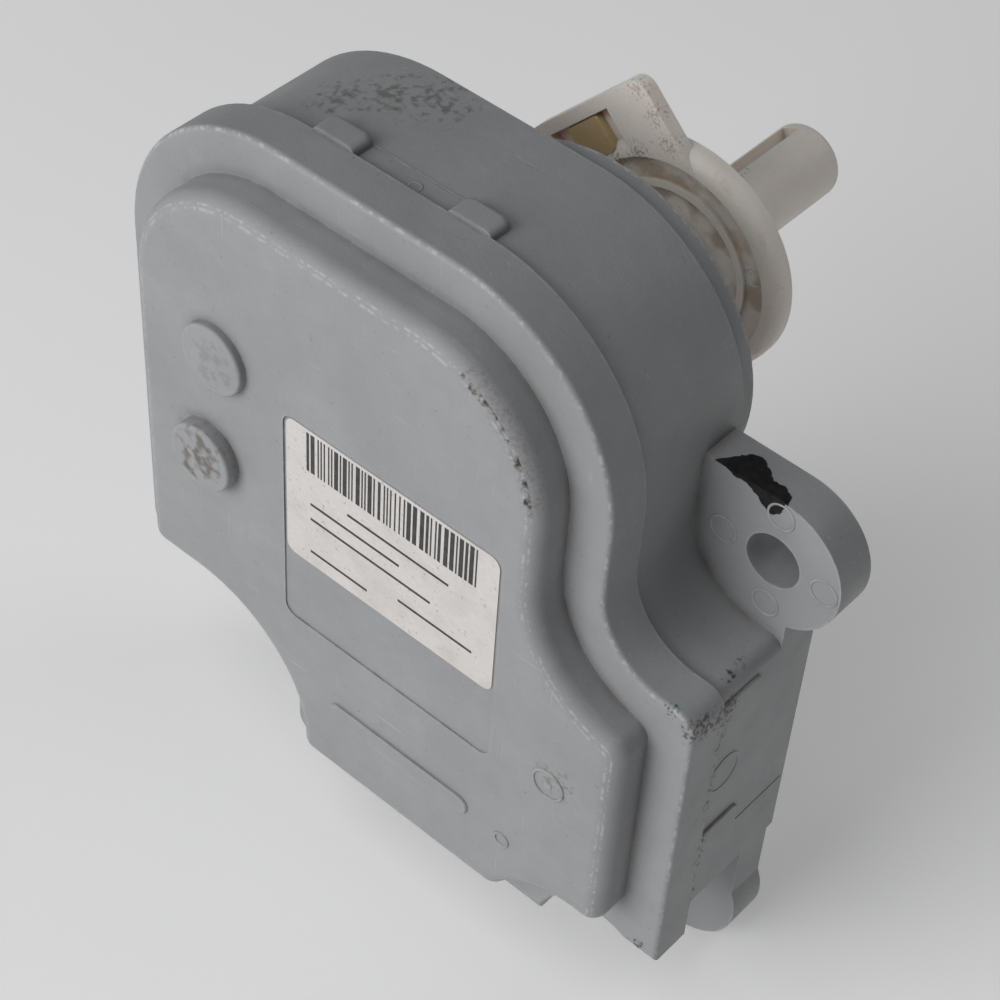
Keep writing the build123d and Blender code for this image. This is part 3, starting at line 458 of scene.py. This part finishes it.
def ring(bm, radius, width, height, matrix, steps=48):
    """Low rounded ridge in a circle, sunk a little into its face."""
    profile = []
    arc_steps = 5
    for i in range(arc_steps + 1):
        angle = math.pi * i / arc_steps
        profile.append((radius + width / 2 * math.cos(angle), height * math.sin(angle)))
    profile.append((radius - width / 2, -SUNK))
    profile.append((radius + width / 2, -SUNK))
    loops = []
    for k in range(steps):
        a = 2 * math.pi * k / steps
        loops.append([bm.verts.new(matrix @ Vector((r * math.cos(a), r * math.sin(a), h)))
                      for r, h in profile])
    for k in range(steps):
        here, there = loops[k], loops[(k + 1) % steps]
        for i in range(len(profile)):
            j = (i + 1) % len(profile)
            bm.faces.new((here[i], here[j], there[j], there[i]))


def slab(bm, outline, matrix, height, sunk=SUNK, round_by=0.0):
    """Low flat shape of an outline on a face, with its top edge drawn in by round_by."""
    middle = sum((Vector((x, y)) for x, y in outline), Vector((0, 0))) / len(outline)
    levels = [(0.0, -sunk), (0.0, height - round_by), (round_by, height)]
    loops = []
    for inward, z in levels:
        loop = []
        for x, y in outline:
            way = middle - Vector((x, y))
            point = Vector((x, y)) + way.normalized() * min(inward, way.length / 2)
            loop.append(bm.verts.new(matrix @ Vector((point.x, point.y, z))))
        loops.append(loop)
    for lower, upper in zip(loops, loops[1:]):
        for i in range(len(lower)):
            j = (i + 1) % len(lower)
            bm.faces.new((lower[i], lower[j], upper[j], upper[i]))
    bm.faces.new(loops[0])
    bm.faces.new(loops[-1])


def bar(x0, x1, y0, y1):
    """Outline of a rectangle, in a face's own axes."""
    return [(x0, y0), (x1, y0), (x1, y1), (x0, y1)]


def rounded_bar(x0, x1, y0, y1, radius, steps=6):
    """Outline of a rectangle with round corners, in a face's own axes."""
    corners = ((x1 - radius, y1 - radius, 0), (x0 + radius, y1 - radius, 90),
               (x0 + radius, y0 + radius, 180), (x1 - radius, y0 + radius, 270))
    points = []
    for x, y, start in corners:
        for i in range(steps + 1):
            a = math.radians(start + 90 * i / steps)
            points.append((x + radius * math.cos(a), y + radius * math.sin(a)))
    return points


def dome(bm, radius, height, matrix, steps=20):
    """Part of a ball that stands on a face."""
    levels = 5
    loops = []
    for i in range(levels):
        a = math.pi / 2 * i / levels
        r, h = radius * math.cos(a), height * math.sin(a)
        loops.append([bm.verts.new(matrix @ Vector((r * math.cos(t), r * math.sin(t), h)))
                      for t in [2 * math.pi * k / steps for k in range(steps)]])
    for lower, upper in zip(loops, loops[1:]):
        for i in range(steps):
            j = (i + 1) % steps
            bm.faces.new((lower[i], lower[j], upper[j], upper[i]))
    top = bm.verts.new(matrix @ Vector((0, 0, height)))
    for i in range(steps):
        bm.faces.new((loops[-1][i], loops[-1][(i + 1) % steps], top))
    bm.faces.new(loops[0])


INK_HEIGHT = 0.012
BAR_MARGIN = 0.35
BAR_LENGTH = 4.4
LINE_WIDTH = 0.28


def label_print(bm):
    """A generic bar code along the top of the label, with plain lines below it."""
    face = facing(FRONT, (0, LABEL_LOW.y, 0))
    draw = random.Random(7)
    top = LABEL_HIGH.z - BAR_MARGIN
    x = LABEL_LOW.x + 2.4
    while x < LABEL_HIGH.x - 2.2:
        width = draw.choice((0.16, 0.16, 0.3, 0.45))
        slab(bm, bar(x, x + width, top - BAR_LENGTH, top), face, INK_HEIGHT)
        x += width + draw.choice((0.18, 0.2, 0.34))
    # Each line's distance below the label's top, and its ends as shares of the label's width
    lines = ((6.6, 0.30, 0.78), (8.4, 0.12, 0.55), (10.2, 0.12, 0.70), (12.6, 0.55, 0.9), (14.2, 0.12, 0.4))
    breadth = LABEL_HIGH.x - LABEL_LOW.x
    for down, start, end in lines:
        z = LABEL_HIGH.z - down
        left = LABEL_LOW.x + breadth * start
        right = LABEL_LOW.x + breadth * end
        slab(bm, bar(left, right, z - LINE_WIDTH, z), face, INK_HEIGHT)


piece("label_print", label_print, INK, "case")


MARK_WIDTH = 0.26
MARK_HEIGHT = 0.09
LUG_MARKS_R = 5.0


def ejector_marks(bm):
    """Ring marks left by the mould's ejector pins."""
    for quarter in range(4):
        angle = math.radians(90 * quarter)
        x = LUG_SIDE[0] + LUG_MARKS_R * math.cos(angle)
        z = LUG_SIDE[1] + LUG_MARKS_R * math.sin(angle)
        ring(bm, 1.25, MARK_WIDTH, MARK_HEIGHT, facing(FRONT, (x, LUG_FRONT_Y, z)))
    ring(bm, 2.0, 0.3, MARK_HEIGHT, facing(RIGHT, (RIGHT_WALL_X, -9.6, -26.6)))
    ring(bm, 0.55, 0.25, 0.08, facing(TOP, (-8.4, -11.3, TOP_WALL_Z)))


piece("ejector_marks", ejector_marks, MATERIALS["case_grey"], "case")


def witness_lines(bm):
    """Thin lines where the mould's slides met."""
    top = facing(TOP, (0, 0, TOP_WALL_Z))
    slab(bm, bar(-14.2, -4.2, -9.9, -9.7), top, 0.06, round_by=0.03)
    side = facing(RIGHT, (RIGHT_WALL_X, 0, 0))
    slab(bm, bar(-6.6, 0.4, -36.7, -36.5), side, 0.06, round_by=0.03)


piece("witness_lines", witness_lines, MATERIALS["case_grey"], "case")


def panel_marks(bm):
    """A plain raised bar, two rings and a dot low on the front panel, in place of moulded markings."""
    slab(bm, rounded_bar(-8.4, 8.2, -39.6, -37.4, 1.0), facing(FRONT, (0, PANEL_Y, 0)), 0.22, round_by=0.14)
    ring(bm, 0.75, 0.3, 0.14, facing(FRONT, (12.2, PANEL_Y, -39.2)))
    large = facing(FRONT, (16.6, PANEL_Y, -27.4))
    ring(bm, 1.6, 0.3, 0.14, large)
    dome(bm, 0.45, 0.12, large)


piece("panel_marks", panel_marks, MATERIALS["case_grey"], "case")


def ragged(draw, points, by, splits=4):
    """Line through the points, with each side split up and its splits moved at random by up to by."""
    out = [points[0]]
    for (x0, y0), (x1, y1) in zip(points, points[1:]):
        for i in range(1, splits):
            x = x0 + (x1 - x0) * i / splits + draw.uniform(-by, by)
            out.append((x, y0 + (y1 - y0) * i / splits + draw.uniform(-by, by)))
        out.append((x1, y1))
    return out


PAINT_HEIGHT = 0.05


def paint_smear(bm):
    """Black paint brushed over the side lug's top edge and just down its front."""
    draw = random.Random(3)
    top = [(24.8, -4.02), (24.5, -3.1), (23.4, -2.5), (22.4, -2.7), (21.4, -1.8), (20.2, -1.2),
           (19.2, -1.6), (18.5, -2.6), (17.6, -4.02)]
    slab(bm, ragged(draw, top, 0.1), Matrix.Identity(4), PAINT_HEIGHT, round_by=0.03)
    front = [(18.4, 0.03), (19.5, -0.35), (20.8, -0.25), (21.8, -0.8), (22.6, -1.5), (23.5, -1.9),
             (24.2, -1.4), (24.5, -0.6), (24.6, 0.02)]
    slab(bm, ragged(draw, front, 0.08), facing(FRONT, (0, LUG_FRONT_Y, 0)), PAINT_HEIGHT, round_by=0.03)


piece("paint_smear", paint_smear, PAINT, "case")


def lever_marks(bm):
    """Ejector ring in the lever's dish."""
    ring(bm, 0.9, 0.2, 0.07, facing(FRONT, (8.1, DISH_Y, 2.6)))


piece("lever_marks", lever_marks, MATERIALS["lever_white"], "output")


def arm_pad(bm):
    """Pad over the rib in the crank arm's pocket, a thin wall whose amber colour is painted light shining
    through it from behind, drawn with the arm along +X and then turned.
    """
    turn = Matrix.Rotation(-math.radians(ARM_ANGLE), 4, "Y")
    outline = rounded_bar(10.3, 13.9, -0.8, 3.5, 0.4)
    slab(bm, outline, turn @ facing(FRONT, (0, DISC_Y + 0.3, 0)), 0.2, sunk=0.6, round_by=0.15)


piece("arm_pad", arm_pad, PAINTED_GLOW, "output")


def solder_joints(bm):
    """Solder on the front of the board round each connector pin and motor lead."""
    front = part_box("circuit_board")[0].y / MM
    for number in range(1, 6):
        low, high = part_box(f"connector_pin_{number}")
        middle = (low + high) / 2 / MM
        dome(bm, 0.85, 0.45, facing(FRONT, (middle.x, front, high.z / MM - 0.35)))
    for name in ("motor_lead_upper", "motor_lead_lower"):
        low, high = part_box(name)
        middle = (low + high) / 2 / MM
        dome(bm, 0.9, 0.45, facing(FRONT, (middle.x, front, middle.z)))


piece("solder_joints", solder_joints, SOLDER, "case")


def board_parts(bm):
    """A driver chip and a row of small resistors on the rear of the board."""
    face = facing(REAR, (0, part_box("circuit_board")[1].y / MM, 0))
    slab(bm, bar(-3.0, 3.0, -32.5, -28.5), face, 1.2, round_by=0.15)
    for i in range(5):
        x = -6.0 + 2.6 * i
        slab(bm, bar(x, x + 0.9, -36.2, -34.4), face, 0.45, round_by=0.08)


piece("board_parts", board_parts, CHIP, "case")


# ---------------------------------------------------------------- stage, light and camera

def floor():
    """Pale, faintly glowing floor at the height of the lowest lug."""
    mesh = bpy.data.meshes.new("floor")
    half = 4.0
    z = cad_box[0][2]
    corners = [(x, y, z) for x, y in bar(-half, half, -half, half)]
    mesh.from_pydata(corners, [], [(0, 1, 2, 3)])
    obj = bpy.data.objects.new("floor", mesh)
    bpy.context.scene.collection.objects.link(obj)
    s = Shader("floor_pale", Specular_IOR_Level=0.1, Emission_Strength=0.2)
    tone = s.noise(60.0, 2.0)
    s.set(Base_Color=s.mix(tone, (0.86, 0.86, 0.86), (0.90, 0.90, 0.90)), Roughness=0.85)
    s.surface.inputs["Emission Color"].default_value = (1, 1, 1, 1)
    mesh.materials.append(s.material)


LIGHT_DISTANCE = 0.6


def area_light(name, way, size, watts):
    """Square soft light in a direction from the object, turned towards it. Sizes are in metres."""
    data = bpy.data.lights.new(name, "AREA")
    data.size = size
    data.energy = watts
    obj = bpy.data.objects.new(name, data)
    bpy.context.scene.collection.objects.link(obj)
    direction = Vector(way).normalized()
    obj.location = direction * LIGHT_DISTANCE
    obj.rotation_euler = direction.to_track_quat("Z", "Y").to_euler()


def studio():
    """Dim, even surroundings with a soft key from the front left, a top light and a back light."""
    world = bpy.data.worlds.new("studio")
    bpy.context.scene.world = world
    world.use_nodes = True
    background = world.node_tree.nodes["Background"]
    background.inputs["Color"].default_value = (0.96, 0.98, 1.0, 1)
    background.inputs["Strength"].default_value = 0.08
    area_light("key", (-0.30, -0.88, 0.36), 0.45, 2.35)
    area_light("top", (-0.12, -0.42, 0.90), 0.3, 0.66)
    area_light("back", (0.35, 0.50, 0.79), 0.25, 0.32)
    bpy.context.scene.view_settings.view_transform = "Standard"


def camera():
    """Long lens in front of the cover, to its right and well above it."""
    data = bpy.data.cameras.new("camera")
    data.lens = 89.44
    data.sensor_width = 36.0
    data.clip_start = 0.01
    obj = bpy.data.objects.new("camera", data)
    bpy.context.scene.collection.objects.link(obj)
    right = Vector((0.74785, 0.66194, 0.05056))
    forward = Vector((-0.43215, 0.54321, -0.71984))
    up = right.cross(forward)
    turn = Matrix((right, up, -forward)).transposed().to_4x4()
    obj.matrix_world = Matrix.Translation((0.09096, -0.12292, 0.13753)) @ turn
    bpy.context.scene.camera = obj


floor()
studio()
camera()
